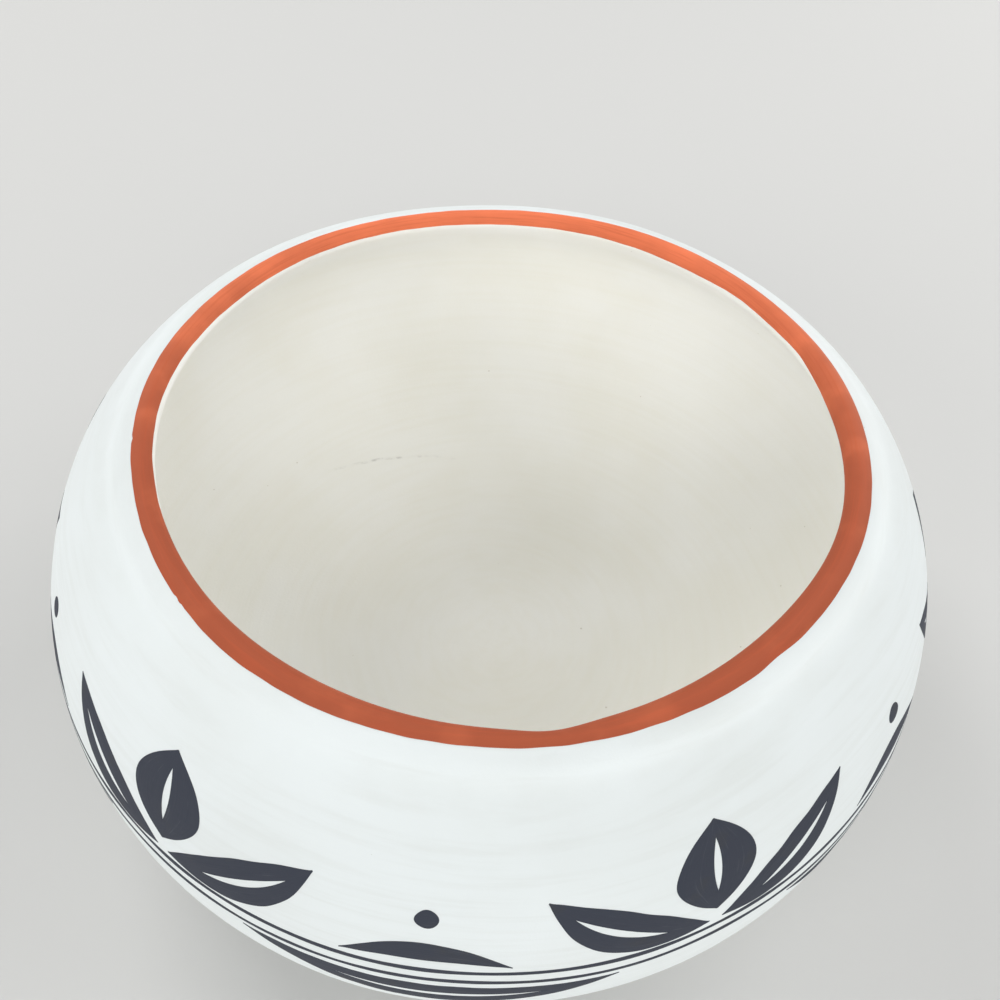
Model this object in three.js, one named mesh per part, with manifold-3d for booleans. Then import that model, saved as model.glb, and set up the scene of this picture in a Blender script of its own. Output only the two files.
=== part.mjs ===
// A hand-built planter bowl: an incurved clay vessel with a rounded lip, its white slip coat, the red band
// over the lip, two thin framing lines above the belly, and brushed leaf shapes above and below them.
// Millimetres. The origin is the centre of the resting face, and +Z points up through the mouth.
import * as THREE from "three";
import { mergeVertices } from "three/addons/utils/BufferGeometryUtils.js";
import Module from "manifold-3d";

const wasm = await Module();
wasm.setup();
const { degToRad } = THREE.MathUtils;

// Outside of the vessel. Each fullness is the share of a wall's rise, or of its run, over which it still
// heads the way that it does at the end named: a quarter circle has 0.55.
const bellyRadius = 89;
const bellyHeight = 45.7;
const rimHeight = 86.8;
const lipRadius = 66;
const lipThickness = 4.8;
const neckAngle = degToRad(42);
const neckRadius = 5;
const shoulderSlope = degToRad(4);
const shoulderSpring = 3;
const shoulderFullness = 0.587;
const lowerFullness = 0.678;
const footFullness = 0.583;
const footRadius = 49;
const footSlope = degToRad(28);
const footRounding = 6;
const recessRadius = 30;
const recessDepth = 1.2;

// Inside of the vessel
const wall = 4.4;
const floorThickness = 6;
const floorRadius = 26;
const floorFullness = 0.51;
const underLipSlope = degToRad(55);
const underLipReach = 9;
const insideFullness = 0.603;

// Fired-on layers, each laid on the one below it with a thin bond
const bond = 0.03;
const slipThickness = 0.3;
const slipStart = 2.5;
const bandThickness = 0.2;
const bandOuterAngle = degToRad(48);
const bandInnerAngle = degToRad(180);
const bandJoint = 0.06;
const paintThickness = 0.15;

// Framing lines
const lineWidth = 1.1;
const upperLineRise = 7.8;
const lineSpacing = 3.35;

// Sprigs of three leaves stand on the upper line, with an arc and a dot between each two of them.
// One long leaf hangs from the lower line under each arc.
const repeats = 6;
const firstSprig = degToRad(25);
const paintGap = 1.4;
const centreLeafLift = 3;
const centreLeafLength = 19;
const centreLeafWidth = 15;
const sideLeafStart = 1.2;
const sideLeafSpan = 27;
const sideLeafRise = 15;
const sideLeafCamber = 2.5;
const sideLeafWidth = 9.5;
const arcGap = 5;
const arcCamber = 3.5;
const arcWidth = 4.5;
const dotGap = 3.6;
const dotRadius = 1.9;
const lowerLeafGap = 32;
const lowerLeafCamber = 5;
const lowerLeafWidth = 9;
const veinWidth = 1.5;
const veinStart = 0.24;
const veinEnd = 0.82;

// Fineness of the facets
const turns = 42;
const lowerWallSteps = 7;
const shoulderSteps = 6;
const insideSteps = 5;
const crestSteps = 5;
const cornerSteps = 2;
const brushSteps = 4;

// A paint cutter is a prism aimed at the axis. It runs between these shares of the wall's distance from it.
const cutterInside = 0.6;
const cutterOutside = 1.5;

const clay = new THREE.MeshStandardMaterial({ color: 0xd9d6c9, roughness: 0.85, metalness: 0 });
const whiteSlip = new THREE.MeshStandardMaterial({ color: 0xeceeed, roughness: 0.7, metalness: 0 });
const redSlip = new THREE.MeshStandardMaterial({ color: 0xc35a38, roughness: 0.6, metalness: 0 });
const charcoalPaint = new THREE.MeshStandardMaterial({ color: 0x44474f, roughness: 0.75, metalness: 0 });

const bowl = new THREE.Group();

function addPiece(name, geometry, material) {
  const piece = new THREE.Mesh(geometry, material);
  piece.name = name;
  bowl.add(piece);
}

// Points of a profile are (radius, height).
function point(radius, height) {
  return new THREE.Vector2(radius, height);
}

function shifted(from, distance, angle) {
  return point(from.x + distance * Math.cos(angle), from.y + distance * Math.sin(angle));
}

function arc(centre, radius, fromAngle, toAngle, steps) {
  const clockwise = toAngle < fromAngle;
  const curve = new THREE.EllipseCurve(centre.x, centre.y, radius, radius, fromAngle, toAngle, clockwise);
  return curve.getPoints(steps);
}

function bezier(start, startHandle, endHandle, end, steps) {
  return new THREE.CubicBezierCurve(start, startHandle, endHandle, end).getPoints(steps);
}

// Joins stretches of a profile, leaving out the point that two neighbours share.
function joined(...stretches) {
  return stretches.flatMap((points, index) => (index === 0 ? points : points.slice(1)));
}

// A closed solid of revolution about +Z. Its seam lies at the front, and it turns from there towards +X.
function revolved(profile) {
  return new THREE.LatheGeometry(profile, turns).rotateX(Math.PI / 2);
}

// The outside of the wall, from the foot up to the lip
const lipSection = lipThickness / 2;
const lipCentre = point(lipRadius, rimHeight - lipSection);
const neckCentre = shifted(lipCentre, lipSection + neckRadius, neckAngle);
const straightDown = degToRad(270);
const neckFoot = straightDown - shoulderSlope;
const shoulderTop = shifted(neckCentre, neckRadius, neckFoot);
const belly = point(bellyRadius, bellyHeight);
const footEdge = point(footRadius, footRounding * (1 - Math.cos(footSlope)));
const footReach = (footFullness * (bellyRadius - footRadius)) / Math.cos(footSlope);
const lowerRise = lowerFullness * (bellyHeight - footEdge.y);
const shoulderRise = shoulderFullness * (shoulderTop.y - bellyHeight);

const lowerWall = bezier(
  footEdge,
  shifted(footEdge, footReach, footSlope),
  point(bellyRadius, bellyHeight - lowerRise),
  belly,
  lowerWallSteps,
);
const shoulder = bezier(
  belly,
  point(bellyRadius, bellyHeight + shoulderRise),
  shifted(shoulderTop, shoulderSpring, -shoulderSlope),
  shoulderTop,
  shoulderSteps,
);
const neck = arc(neckCentre, neckRadius, neckFoot, Math.PI + neckAngle, cornerSteps);
const lipSide = arc(lipCentre, lipSection, neckAngle, bandOuterAngle, 1);
const lipCrest = arc(lipCentre, lipSection, bandOuterAngle, bandInnerAngle, crestSteps);
const outerWall = joined(lowerWall, shoulder, neck, lipSide);

function clayBody() {
  const lipInside = arc(lipCentre, lipSection, bandInnerAngle, straightDown - underLipSlope, cornerSteps);
  const underLip = lipInside.at(-1);
  const innerBelly = point(bellyRadius - wall, bellyHeight);
  const innerShoulder = bezier(
    underLip,
    shifted(underLip, underLipReach, -underLipSlope),
    point(innerBelly.x, bellyHeight + insideFullness * (underLip.y - bellyHeight)),
    innerBelly,
    insideSteps,
  );
  const innerLower = bezier(
    innerBelly,
    point(innerBelly.x, bellyHeight - lowerRise + wall / 2),
    point(floorRadius + floorFullness * (innerBelly.x - floorRadius), floorThickness),
    point(floorRadius, floorThickness),
    insideSteps,
  );
  const floorCentre = point(0, floorThickness);

  const dishRadius = (recessRadius ** 2 + recessDepth ** 2) / (2 * recessDepth);
  const dishAngle = Math.asin(recessRadius / dishRadius);
  const dishCentre = point(0, recessDepth - dishRadius);
  const recess = arc(dishCentre, dishRadius, Math.PI / 2, Math.PI / 2 - dishAngle, cornerSteps);
  const footCentre = point(footRadius - footRounding * Math.sin(footSlope), footRounding);
  const footCorner = arc(footCentre, footRounding, -Math.PI / 2, -Math.PI / 2 + footSlope, cornerSteps);

  const underside = [...recess, ...footCorner];
  const inside = joined(lipInside, innerShoulder, innerLower);
  return revolved([...joined(underside, outerWall, lipCrest, inside), floorCentre]);
}

// A profile moved off the clay, square to it, by a distance
function raised(profile, distance) {
  return profile.map((here, index) => {
    const before = profile[Math.max(index - 1, 0)];
    const after = profile[Math.min(index + 1, profile.length - 1)];
    const along = after.clone().sub(before).normalize();
    return point(here.x + distance * along.y, here.y - distance * along.x);
  });
}

// A layer over a stretch of the profile, from one distance off the clay to another
function layer(profile, inner, outer) {
  const section = [...raised(profile, outer), ...raised(profile, inner).reverse()];
  return revolved([...section, section[0].clone()]);
}

function pointAtHeight(height) {
  const next = outerWall.findIndex((here, index) => index > 0 && here.y >= height);
  const [from, to] = [outerWall[next - 1], outerWall[next]];
  return from.clone().lerp(to, (height - from.y) / (to.y - from.y));
}

// The stretch of the outside between two heights
function wallBetween(low, high) {
  const inside = outerWall.filter((here) => here.y > low && here.y < high);
  return [pointAtHeight(low), ...inside, pointAtHeight(high)];
}

// The point at a distance along a profile, which runs on straight before its start and past its end
function pointAlong(profile, distance) {
  let left = distance;
  let next = 1;
  while (next < profile.length - 1 && left > profile[next].distanceTo(profile[next - 1])) {
    left -= profile[next].distanceTo(profile[next - 1]);
    next++;
  }
  const [from, to] = [profile[next - 1], profile[next]];
  return from.clone().lerp(to, left / from.distanceTo(to));
}

// The slip runs from just above the resting face to just short of the red band on the lip.
const slipEnd = lipCrest[0].y - bandJoint;
const paintInside = bond + slipThickness + bond;
const paintOutside = paintInside + paintThickness;
const upperLineHeight = bellyHeight + upperLineRise;
const lowerLineHeight = upperLineHeight - lineSpacing;

function framingLine(height) {
  return layer(wallBetween(height - lineWidth / 2, height + lineWidth / 2), paintInside, paintOutside);
}

// A leaf's outline in the unrolled wall: across is along the belly, up is along the wall from its line.
// Its spine bows to the left of the way from base to tip by the camber.
function leaf(base, tip, camber, width) {
  const square = tip.clone().sub(base).rotateAround(new THREE.Vector2(), Math.PI / 2).normalize();
  const middle = base.clone().lerp(tip, 0.5);
  const bowed = (bow) => middle.clone().addScaledVector(square, bow);
  const left = bowed(2 * camber + width);
  const right = bowed(2 * camber - width);
  const shape = new THREE.Shape();
  shape.moveTo(base.x, base.y);
  shape.quadraticCurveTo(right.x, right.y, tip.x, tip.y);
  shape.quadraticCurveTo(left.x, left.y, base.x, base.y);
  return { shape, spine: new THREE.QuadraticBezierCurve(base, bowed(2 * camber), tip), square };
}

// The leaf with its vein left bare, as a slit along the spine
function veined({ shape, spine, square }) {
  const shares = [veinStart, (veinStart + veinEnd) / 2, veinEnd];
  const [start, middle, end] = shares.map((share) => spine.getPoint(share));
  // A curve through the spine's middle point has its handle twice as far from the chord.
  const handle = middle.clone().multiplyScalar(2).addScaledVector(start.clone().add(end), -0.5);
  const left = handle.clone().addScaledVector(square, veinWidth);
  const right = handle.clone().addScaledVector(square, -veinWidth);
  const vein = new THREE.Path();
  vein.moveTo(start.x, start.y);
  vein.quadraticCurveTo(left.x, left.y, end.x, end.y);
  vein.quadraticCurveTo(right.x, right.y, start.x, start.y);
  shape.holes.push(vein);
  return shape;
}

function dot(centre) {
  return new THREE.Shape().absarc(centre.x, centre.y, dotRadius, 0, 2 * Math.PI);
}

function toSolid(geometry) {
  const bare = geometry.clone();
  bare.deleteAttribute("normal");
  bare.deleteAttribute("uv");
  const merged = mergeVertices(bare);
  const mesh = { numProp: 3, vertProperties: merged.attributes.position.array, triVerts: merged.index.array };
  return new wasm.Manifold(new wasm.Mesh(mesh));
}

function toGeometry(solid) {
  const mesh = solid.getMesh();
  const geometry = new THREE.BufferGeometry();
  geometry.setAttribute("position", new THREE.BufferAttribute(mesh.vertProperties, 3));
  geometry.setIndex(new THREE.BufferAttribute(mesh.triVerts, 1));
  return geometry;
}

// A ground is the wall that a row of shapes lies on: its profile, going away from its framing line, the sense
// of that on the height, and the paint over all of it, which the shapes are cut from.
const wallAbove = wallBetween(upperLineHeight + lineWidth / 2, shoulderTop.y);
const wallBelow = wallBetween(slipStart, lowerLineHeight - lineWidth / 2);
const upperGround = {
  profile: wallAbove,
  sense: 1,
  paint: toSolid(layer(wallAbove, paintInside, paintOutside)),
};
const lowerGround = {
  profile: [...wallBelow].reverse(),
  sense: -1,
  paint: toSolid(layer(wallBelow, paintInside, paintOutside)),
};

// A shape wrapped round the wall as a layer of paint: a prism of its outline, aimed at the axis at belly
// height, cuts it out of the ground's paint.
function addPaint(name, shape, ground, turn) {
  const extrusion = { depth: 1, bevelEnabled: false, curveSegments: brushSteps };
  const prism = new THREE.ExtrudeGeometry(shape, extrusion);
  const place = prism.attributes.position;
  for (let index = 0; index < place.count; index++) {
    const onWall = pointAlong(ground.profile, ground.sense * place.getY(index));
    const angle = turn + place.getX(index) / bellyRadius;
    const reach = THREE.MathUtils.lerp(cutterInside, cutterOutside, place.getZ(index));
    const radius = onWall.x * reach;
    const height = bellyHeight + (onWall.y - bellyHeight) * reach;
    place.setXYZ(index, radius * Math.sin(angle), -radius * Math.cos(angle), height);
  }
  addPiece(name, toGeometry(ground.paint.intersect(toSolid(prism))), charcoalPaint);
}

addPiece("clay_body", clayBody(), clay);
addPiece("white_slip_coat", layer(wallBetween(slipStart, slipEnd), bond, bond + slipThickness), whiteSlip);
addPiece("red_lip_band", layer(lipCrest, bond, bond + bandThickness), redSlip);
addPiece("upper_framing_line", framingLine(upperLineHeight), charcoalPaint);
addPiece("lower_framing_line", framingLine(lowerLineHeight), charcoalPaint);

const pitch = (2 * Math.PI * bellyRadius) / repeats;
const arcSpan = pitch - 2 * (sideLeafStart + sideLeafSpan + arcGap);
const lowerLeafSpan = pitch - lowerLeafGap;

for (let repeat = 1; repeat <= repeats; repeat++) {
  const turn = firstSprig + ((repeat - 1) * 2 * Math.PI) / repeats;
  const halfTurn = turn + Math.PI / repeats;

  const centreFoot = paintGap + centreLeafLift;
  const centre = leaf(point(0, centreFoot), point(0, centreFoot + centreLeafLength), 0, centreLeafWidth);
  addPaint(`centre_leaf_${repeat}`, veined(centre), upperGround, turn);

  for (const [side, sense] of [["left", -1], ["right", 1]]) {
    const base = point(sense * sideLeafStart, paintGap);
    const tip = point(sense * (sideLeafStart + sideLeafSpan), paintGap + sideLeafRise);
    const sideLeaf = leaf(base, tip, -sense * sideLeafCamber, sideLeafWidth);
    addPaint(`${side}_leaf_${repeat}`, veined(sideLeaf), upperGround, turn);
  }

  const shoulderArc = leaf(point(-arcSpan / 2, paintGap), point(arcSpan / 2, paintGap), arcCamber, arcWidth);
  addPaint(`shoulder_arc_${repeat}`, shoulderArc.shape, upperGround, halfTurn);
  const arcTop = paintGap + arcCamber + arcWidth / 2;
  addPaint(`shoulder_dot_${repeat}`, dot(point(0, arcTop + dotGap + dotRadius)), upperGround, halfTurn);

  const lowerEnds = [point(-lowerLeafSpan / 2, -paintGap), point(lowerLeafSpan / 2, -paintGap)];
  const lowerLeaf = leaf(...lowerEnds, -lowerLeafCamber, lowerLeafWidth);
  addPaint(`lower_leaf_${repeat}`, veined(lowerLeaf), lowerGround, halfTurn);
}

export default bowl;
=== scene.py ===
"""A hand-built planter bowl: fired clay, white slip, a red band over the lip and brushed charcoal leaves.

Sizes are in millimetres and become metres where a mesh is made. The origin is the centre of the resting
face and +Z points up through the mouth. A turn is an angle round that axis from the front (-Y) towards +X.
"""
import logging
import math
from collections.abc import Callable, Sequence
from dataclasses import dataclass
from enum import Enum

import bpy
import numpy as np
from mathutils import Matrix, Vector, noise

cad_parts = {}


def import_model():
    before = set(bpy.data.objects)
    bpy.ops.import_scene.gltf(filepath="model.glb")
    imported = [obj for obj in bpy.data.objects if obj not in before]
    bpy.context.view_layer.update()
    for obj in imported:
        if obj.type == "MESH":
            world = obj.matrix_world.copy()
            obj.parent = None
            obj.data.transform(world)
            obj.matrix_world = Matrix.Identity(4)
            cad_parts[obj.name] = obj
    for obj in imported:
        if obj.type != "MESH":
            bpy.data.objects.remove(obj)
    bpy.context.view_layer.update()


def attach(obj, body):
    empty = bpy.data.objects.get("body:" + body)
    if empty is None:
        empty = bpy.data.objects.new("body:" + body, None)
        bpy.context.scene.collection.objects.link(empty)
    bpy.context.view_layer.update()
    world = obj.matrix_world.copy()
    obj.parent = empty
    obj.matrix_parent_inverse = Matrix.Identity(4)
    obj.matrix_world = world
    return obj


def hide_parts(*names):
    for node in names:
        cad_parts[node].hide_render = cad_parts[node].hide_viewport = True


MM = 0.001
FULL_TURN = 2 * math.pi
BODY = "root"

# Points nearer than these, in millimetres, are merged where a turned piece or a coat meets itself.
POLE_GAP = 0.001
SEAM_GAP = 0.002

# Each half of a leaf starts this share of its width off the spine, which tells it its own side.
SPINE_GAP = 1e-9

log = logging.getLogger("planter_bowl")

Colour = tuple[float, float, float, float]
Span = tuple[float, float]

# Gives the places of a sheet for shares of the way along it and across it.
Placing = Callable[[np.ndarray, np.ndarray], np.ndarray]

# Gives the distances of a coat's lower and upper edge, along the outside, for turns round the bowl.
Edges = Callable[[np.ndarray], tuple[np.ndarray, np.ndarray]]


class Slot(Enum):
    """The record's material slots."""

    CLAY = "clay"
    WHITE_SLIP = "white_slip"
    RED_SLIP = "red_slip"
    CHARCOAL = "charcoal_paint"


class Motif(Enum):
    """The painted shapes of one repeat, each with the seed that the hand's tremor starts from."""

    CENTRE_LEAF = 0
    LEFT_LEAF = 5
    RIGHT_LEAF = 15
    SHOULDER_ARC = 30
    SHOULDER_DOT = 40
    LOWER_LEAF = 50


def srgb(red: float, green: float, blue: float) -> Colour:
    """Turns a colour as a screen shows it, from 0 to 255, into the linear one that a shader takes.

    Args:
        red: The red share.
        green: The green share.
        blue: The blue share.

    Returns:
        The linear colour, with an alpha of 1.
    """
    shares = [channel / 255 for channel in (red, green, blue)]
    linear = [s / 12.92 if s <= 0.04045 else ((s + 0.055) / 1.055) ** 2.4 for s in shares]
    return (*linear, 1.0)


def smooth_share(values: np.ndarray, start: float, end: float) -> np.ndarray:
    """Rises smoothly from 0 at start to 1 at end.

    Args:
        values: Where to measure it.
        start: The value that gives 0.
        end: The value that gives 1.

    Returns:
        A share for each value.
    """
    share = np.clip((values - start) / (end - start), 0, 1)
    return share * share * (3 - 2 * share)


def arc(centre: np.ndarray, radius: float, start: float, end: float, steps: int) -> np.ndarray:
    """Points along an arc of the section.

    Args:
        centre: Radius and height of the arc's centre.
        radius: Its radius.
        start: The angle that it starts at, in degrees from outwards towards up.
        end: The angle that it ends at.
        steps: How many pieces it has.

    Returns:
        Points of radius and height.
    """
    angles = np.radians(np.linspace(start, end, steps + 1))
    return centre + radius * np.column_stack([np.cos(angles), np.sin(angles)])


def bezier(
    start: np.ndarray, leaving: np.ndarray, arriving: np.ndarray, end: np.ndarray, steps: int,
) -> np.ndarray:
    """Points along a cubic curve of the section.

    Args:
        start: Where it starts.
        leaving: The handle at its start.
        arriving: The handle at its end.
        end: Where it ends.
        steps: How many pieces it has.

    Returns:
        Points of radius and height.
    """
    t = np.linspace(0, 1, steps + 1)[:, None]
    u = 1 - t
    return u**3 * start + 3 * u * u * t * leaving + 3 * u * t * t * arriving + t**3 * end


def shifted(start: np.ndarray, distance: float, angle: float) -> np.ndarray:
    """The point at a distance from another, at an angle in degrees."""
    return start + distance * np.array([math.cos(math.radians(angle)), math.sin(math.radians(angle))])


@dataclass(frozen=True)
class Swell:
    """A slow swell that comes back a whole number of times in one turn round the bowl."""

    count: int
    reach: float
    crest: float

    def at(self, turn: np.ndarray) -> np.ndarray:
        """Its height at each turn, highest where it is turned by the crest's angle in degrees."""
        return self.reach * np.cos(self.count * (turn - math.radians(self.crest)))


@dataclass(frozen=True)
class Nick:
    """A short local hollow, where a thumb or the brush's hairs left the line."""

    turn: float
    width: float
    depth: float

    def at(self, turn: np.ndarray, radius: float) -> np.ndarray:
        """Its depth at each turn, on a ring of a radius, with its turn given in degrees."""
        off = np.remainder(turn - math.radians(self.turn) + math.pi, FULL_TURN) - math.pi
        return self.depth * np.exp(-((off * radius / self.width) ** 2))


def swelling(swells: Sequence[Swell], turn: np.ndarray) -> np.ndarray:
    """The sum of several swells at each turn."""
    return sum((swell.at(turn) for swell in swells), np.zeros_like(turn))


@dataclass(frozen=True)
class Tremor:
    """The fine unsteadiness of a hand, which is the same each time for one seed."""

    reach: float
    wavelength: float
    waves: int = 6
    paces: Span = (0.4, 1.8)

    def at(self, distance: np.ndarray, seed: int, closes_at: float = 0.0) -> np.ndarray:
        """Its height at each distance along a stroke.

        Args:
            distance: Distances along the stroke.
            seed: Which stroke it is.
            closes_at: The stroke's length where it comes back to its start, and otherwise 0.

        Returns:
            The height at each distance.
        """
        chance = np.random.default_rng(seed)
        pace = chance.uniform(*self.paces, self.waves) / self.wavelength
        if closes_at:
            pace = np.maximum(np.round(pace * closes_at), 1) / closes_at
        phase = chance.uniform(0, FULL_TURN, self.waves)
        waves = np.cos(FULL_TURN * distance[..., None] * pace + phase)
        return self.reach * waves.sum(axis=-1) / math.sqrt(self.waves)


@dataclass(frozen=True)
class Contour:
    """A stretch of the bowl's section, as points of radius and height."""

    points: np.ndarray

    def distances(self) -> np.ndarray:
        """How far along the stretch each of its points lies."""
        return np.concatenate([[0], np.cumsum(np.linalg.norm(np.diff(self.points, axis=0), axis=1))])

    def at(self, distance: np.ndarray, lift: float = 0.0) -> tuple[np.ndarray, np.ndarray]:
        """Radius and height at distances along the stretch.

        Args:
            distance: How far along the stretch.
            lift: How far off it, square to it and away from the clay.

        Returns:
            The radii and the heights.
        """
        along = self.distances()
        slope = np.gradient(self.points, along, axis=0)
        slope /= np.linalg.norm(slope, axis=1)[:, None]
        radius, height, run, rise = (
            np.interp(distance, along, column) for column in (*self.points.T, *slope.T)
        )
        return radius + lift * rise, height - lift * run

    def distance_at(self, height: float) -> float:
        """How far along the stretch it first reaches a height.

        Args:
            height: The height.

        Returns:
            The distance.
        """
        reached = int(np.argmax(self.points[:, 1] >= height))
        step = slice(reached - 1, reached + 1)
        return float(np.interp(height, self.points[step, 1], self.distances()[step]))


@dataclass(frozen=True)
class Facets:
    """How many pieces each stretch of the section is drawn with."""

    recess: int = 10
    resting_ring: int = 4
    foot_corner: int = 6
    lower_wall: int = 34
    shoulder: int = 30
    neck: int = 10
    lip: int = 30
    inner_shoulder: int = 26
    inner_wall: int = 30
    floor: int = 8


@dataclass(frozen=True)
class Vessel:
    """The bowl's section, and the unevenness that building it by hand left in it."""

    belly_radius: float = 89.0
    belly_height: float = 45.7
    rim_height: float = 86.8
    lip_radius: float = 66.0
    lip_thickness: float = 4.8
    neck_angle: float = 42.0
    neck_radius: float = 5.0
    shoulder_slope: float = 4.0
    shoulder_spring: float = 3.0
    shoulder_fullness: float = 0.587
    lower_fullness: float = 0.678
    foot_fullness: float = 0.583
    foot_radius: float = 49.0
    foot_slope: float = 28.0
    foot_rounding: float = 6.0
    recess_radius: float = 30.0
    recess_depth: float = 1.2
    wall: float = 4.4
    floor_thickness: float = 6.0
    floor_radius: float = 26.0
    floor_fullness: float = 0.51
    under_lip_slope: float = 55.0
    under_lip_reach: float = 9.0
    inside_fullness: float = 0.603
    rim_swells: tuple[Swell, ...] = (
        Swell(2, 0.10, 107), Swell(3, 0.35, -4), Swell(4, 0.25, -7), Swell(5, 0.27, 9), Swell(7, 0.13, 12),
    )
    rim_rises: tuple[Swell, ...] = (Swell(2, 0.30, 100),)
    belly_swells: tuple[Swell, ...] = (Swell(2, 0.15, 30), Swell(3, 0.12, 70))
    lip_flat: Nick = Nick(8, 6, 0.65)
    flat_across: Span = (-1.0, 2.0)
    flat_up: Span = (-14.0, -3.0)
    dents: float = 0.16
    dent_size: float = 26.0
    facets: Facets = Facets()

    @property
    def lip_section(self) -> float:
        """Radius of the round lip's section."""
        return self.lip_thickness / 2

    @property
    def lip_centre(self) -> np.ndarray:
        """Centre of the round lip's section."""
        return np.array([self.lip_radius, self.rim_height - self.lip_section])

    @property
    def neck_centre(self) -> np.ndarray:
        """Centre of the neck's hollow."""
        return shifted(self.lip_centre, self.lip_section + self.neck_radius, self.neck_angle)

    @property
    def under_lip(self) -> float:
        """The angle on the lip's section at which the inner wall leaves it."""
        return 270 - self.under_lip_slope

    def outside(self) -> Contour:
        """From the foot's edge up over the belly and shoulder, and over the lip to its underside.

        Returns:
            That stretch of the section.
        """
        neck = arc(
            self.neck_centre, self.neck_radius, 270 - self.shoulder_slope, 180 + self.neck_angle,
            self.facets.neck,
        )
        foot_edge = self._foot_corner()[-1]
        run = self.foot_fullness * (self.belly_radius - self.foot_radius)
        reach = run / math.cos(math.radians(self.foot_slope))
        belly = np.array([self.belly_radius, self.belly_height])
        lower_wall = bezier(
            foot_edge, shifted(foot_edge, reach, self.foot_slope), belly - [0, self._lower_rise()], belly,
            self.facets.lower_wall,
        )
        shoulder = bezier(
            belly, belly + [0, self._shoulder_rise()],
            shifted(neck[0], self.shoulder_spring, -self.shoulder_slope), neck[0], self.facets.shoulder,
        )
        lip = arc(self.lip_centre, self.lip_section, self.neck_angle, self.under_lip, self.facets.lip)
        return Contour(np.concatenate([lower_wall, shoulder[1:], neck[1:], lip[1:]]))

    def inside(self) -> Contour:
        """From under the lip down the inner wall to the middle of the floor.

        Returns:
            That stretch of the section.
        """
        under_lip = shifted(self.lip_centre, self.lip_section, self.under_lip)
        belly = np.array([self.belly_radius - self.wall, self.belly_height])
        floor_edge = np.array([self.floor_radius, self.floor_thickness])
        shoulder = bezier(
            under_lip, shifted(under_lip, self.under_lip_reach, -self.under_lip_slope),
            belly + [0, self.inside_fullness * (under_lip[1] - self.belly_height)], belly,
            self.facets.inner_shoulder,
        )
        lower = bezier(
            belly, belly - [0, self._lower_rise() - self.wall / 2],
            floor_edge + [self.floor_fullness * (belly[0] - self.floor_radius), 0], floor_edge,
            self.facets.inner_wall,
        )
        floor = np.linspace(floor_edge, [0, self.floor_thickness], self.facets.floor + 1)
        return Contour(np.concatenate([shoulder, lower[1:], floor[1:]]))

    def underside(self) -> Contour:
        """From the middle of the recess under the foot out to the foot's edge.

        Returns:
            That stretch of the section.
        """
        dish_radius = (self.recess_radius**2 + self.recess_depth**2) / (2 * self.recess_depth)
        dish_angle = math.degrees(math.asin(self.recess_radius / dish_radius))
        dish_centre = np.array([0, self.recess_depth - dish_radius])
        recess = arc(dish_centre, dish_radius, 90, 90 - dish_angle, self.facets.recess)
        corner = self._foot_corner()
        ring = np.linspace(recess[-1], corner[0], self.facets.resting_ring + 1)
        return Contour(np.concatenate([recess, ring[1:], corner[1:]]))

    def by_hand(self, points: np.ndarray) -> np.ndarray:
        """Moves true points to where the potter's hand left them. The resting face stays flat.

        Args:
            points: Places on the true round bowl.

        Returns:
            The places on the bowl as it was built.
        """
        x, y, z = points.T
        radius = np.hypot(x, y)
        turn = np.arctan2(x, -y)
        up_the_neck = smooth_share(z, self.belly_height, self.rim_height)
        off_the_table = smooth_share(z, 0, self.belly_height)
        coarse = np.array([noise.noise(Vector(p) / self.dent_size) for p in points.tolist()])
        outwards = (
            up_the_neck * swelling(self.rim_swells, turn)
            + off_the_table * swelling(self.belly_swells, turn)
            + self.dents * off_the_table * coarse
        )
        inner_side = 1 - smooth_share(radius - self.lip_radius, *self.flat_across)
        at_the_lip = inner_side * smooth_share(z - self.rim_height, *self.flat_up)
        outwards += at_the_lip * self.lip_flat.at(turn, self.lip_radius)
        stretch = 1 + outwards / np.maximum(radius, self.floor_radius)
        lifted = z + up_the_neck * swelling(self.rim_rises, turn)
        return np.column_stack([x * stretch, y * stretch, lifted])

    def _foot_corner(self) -> np.ndarray:
        """Points of the rounding between the resting face and the wall.

        Returns:
            Points of radius and height.
        """
        inwards = self.foot_rounding * math.sin(math.radians(self.foot_slope))
        centre = np.array([self.foot_radius - inwards, self.foot_rounding])
        return arc(centre, self.foot_rounding, -90, -90 + self.foot_slope, self.facets.foot_corner)

    def _lower_rise(self) -> float:
        """How far below the belly the lower wall still heads straight up."""
        return self.lower_fullness * (self.belly_height - self._foot_corner()[-1][1])

    def _shoulder_rise(self) -> float:
        """How far above the belly the shoulder still heads straight up."""
        shoulder_top = shifted(self.neck_centre, self.neck_radius, 270 - self.shoulder_slope)
        return self.shoulder_fullness * (shoulder_top[1] - self.belly_height)


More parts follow.
